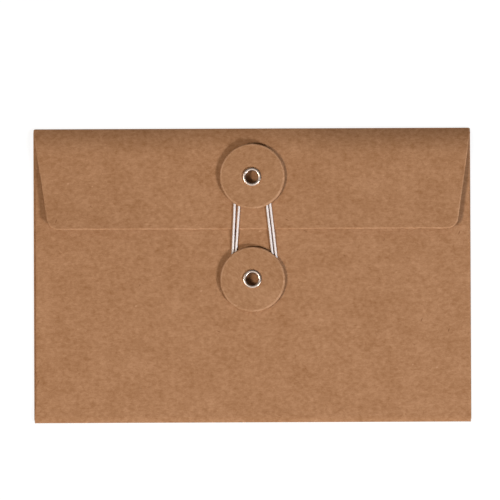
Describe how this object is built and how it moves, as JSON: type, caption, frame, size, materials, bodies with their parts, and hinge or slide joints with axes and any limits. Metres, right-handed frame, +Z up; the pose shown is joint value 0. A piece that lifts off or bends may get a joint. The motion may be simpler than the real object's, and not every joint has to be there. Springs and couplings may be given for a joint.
{
  "type": "string tie envelope",
  "caption": "Flat kraft card envelope with a fold-over flap, closed by a cotton string wound round two riveted card discs.",
  "frame": {"origin": "middle of the envelope's outline, on the surface that its plain front panel lies on", "axes": "+X along the width, +Y towards the fold of the flap, +Z up, out of the buttoned side"},
  "size_m": [0.168, 0.113, 0.0054],
  "materials": {
    "kraft_card": "matte",
    "kraft_board": "matte",
    "eyelet_nickel": "satin",
    "cotton_string": "matte",
    "paper_glue": "matte"
  },
  "bodies": {
    "pocket": {"front_panel": "kraft_card", "back_panel": "kraft_card", "bottom_fold": "kraft_card", "left_side_fold": "kraft_card", "right_side_fold": "kraft_card", "left_glue_tab": "kraft_card", "right_glue_tab": "kraft_card", "left_glue_seam": "paper_glue", "right_glue_seam": "paper_glue", "flap_fold": "kraft_card", "lower_eyelet": "eyelet_nickel"},
    "flap": {"flap": "kraft_card", "upper_eyelet": "eyelet_nickel", "tie_string": "cotton_string"},
    "upper_disc": {"upper_disc": "kraft_board"},
    "lower_disc": {"lower_disc": "kraft_board"}
  },
  "joints": [
    {"name": "flap_hinge", "type": "hinge", "parent": "pocket", "child": "flap", "pos_m": [0, 0.05477, 0.00173], "axis": [-1, 0, 0], "range_deg": [0, 170], "deforming": ["flap_fold", "tie_string"]},
    {"name": "upper_disc_spin", "type": "hinge", "parent": "flap", "child": "upper_disc", "pos_m": [0, 0.038, 0.00291], "axis": [0, -0.0329, 0.9995], "continuous": true},
    {"name": "lower_disc_spin", "type": "hinge", "parent": "pocket", "child": "lower_disc", "pos_m": [0, -0.0015, 0.0017], "axis": [0, 0, 1], "continuous": true}
  ]
}
